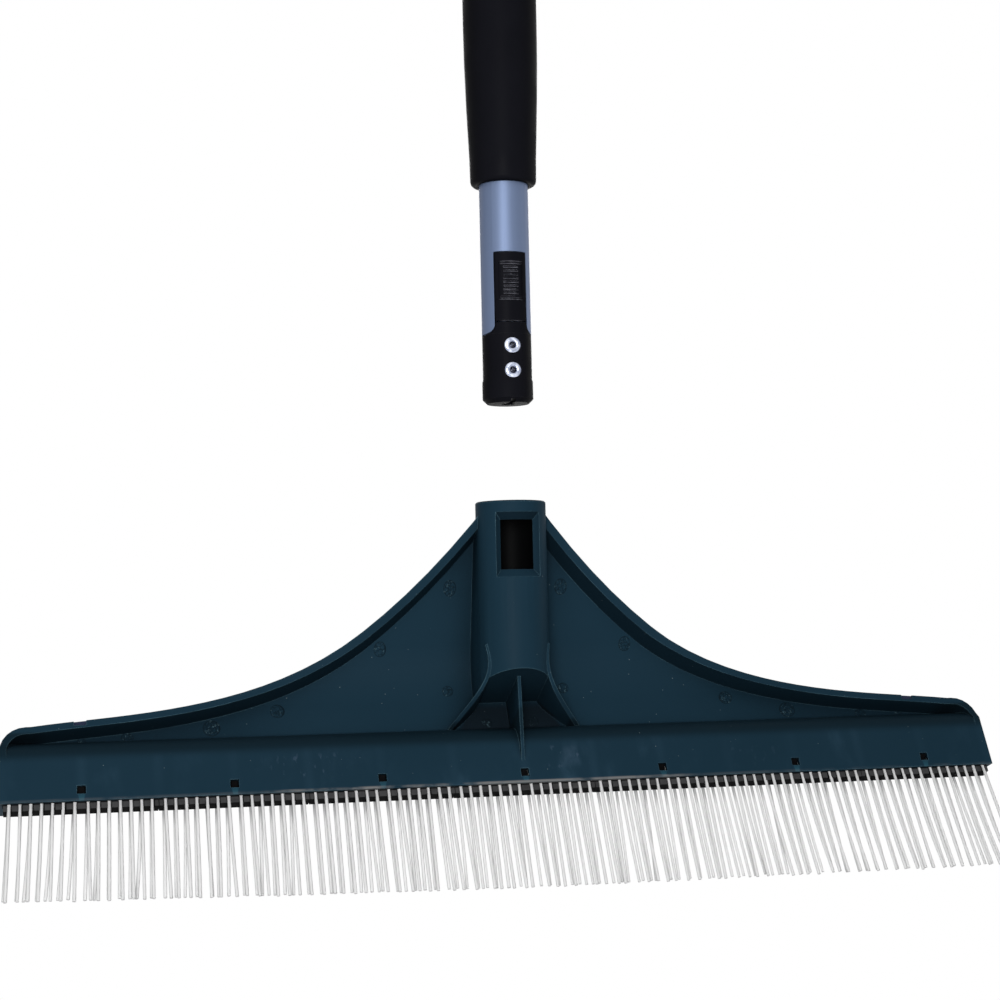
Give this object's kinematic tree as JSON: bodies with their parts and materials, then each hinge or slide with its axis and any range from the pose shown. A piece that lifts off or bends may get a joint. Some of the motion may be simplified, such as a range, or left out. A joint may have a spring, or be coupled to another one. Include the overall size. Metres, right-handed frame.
{
  "type": "artificial grass rake",
  "caption": "Wide brush rake for artificial grass: ribbed moulded head with rows of stiff bristles, and a telescopic pole that latches into its tilted socket.",
  "frame": {"origin": "centre of the hanging hole in the end cap's tab", "axes": "+Z along the pole from the head to the end cap, -Y towards the side that the latch and the head's open face are on, +X along the head to that side's right"},
  "size_m": [0.45, 0.0586, 1.0763],
  "materials": {
    "head": "dark teal moulded plastic, satin",
    "comb": "black moulded plastic",
    "bristles": "translucent white nylon",
    "tube": "blue-grey satin anodised",
    "fitting": "black moulded plastic, fine grain",
    "rivet": "bright plated",
    "clamp": "natural nylon",
    "grip": "black closed-cell foam"
  },
  "bodies": {
    "upper": {"upper_tube": "tube", "clamp_body": "clamp", "hand_grip": "grip", "end_cap": "fitting"},
    "collar": {"lock_collar": "fitting"},
    "lower": {"lower_tube": "tube", "pole_connector": "fitting", "rivet_lower": "rivet", "rivet_upper": "rivet", "guide_bush": "clamp"},
    "latch": {"latch_tongue": "fitting"},
    "head": {"head_shell": "head", "comb_segment_1": "comb", "comb_segment_2": "comb", "comb_segment_3": "comb", "comb_segment_4": "comb", "comb_segment_5": "comb", "comb_segment_6": "comb", "comb_segment_7": "comb", "bristle_set_1": "bristles", "bristle_set_2": "bristles", "bristle_set_3": "bristles", "bristle_set_4": "bristles", "bristle_set_5": "bristles", "bristle_set_6": "bristles", "bristle_set_7": "bristles"}
  },
  "joints": [
    {"name": "telescope", "type": "slide", "parent": "upper", "child": "lower", "axis": [0, 0, -1], "range_m": [0, 0.6]},
    {"name": "collar_twist", "type": "hinge", "parent": "upper", "child": "collar", "pos_m": [0, 0, -0.7], "axis": [0, 0, 1], "range_deg": [0, 120]},
    {"name": "latch_press", "type": "hinge", "parent": "lower", "child": "latch", "pos_m": [0, -0.01045, -0.8168], "axis": [1, 0, 0], "range_deg": [0, 3.5], "stiffness_Nm_per_rad": 1, "springref_deg": 3.5},
    {"name": "head_pull", "type": "slide", "parent": "lower", "child": "head", "axis": [0, 0, 1], "range_m": [0, 0.1217]}
  ]
}
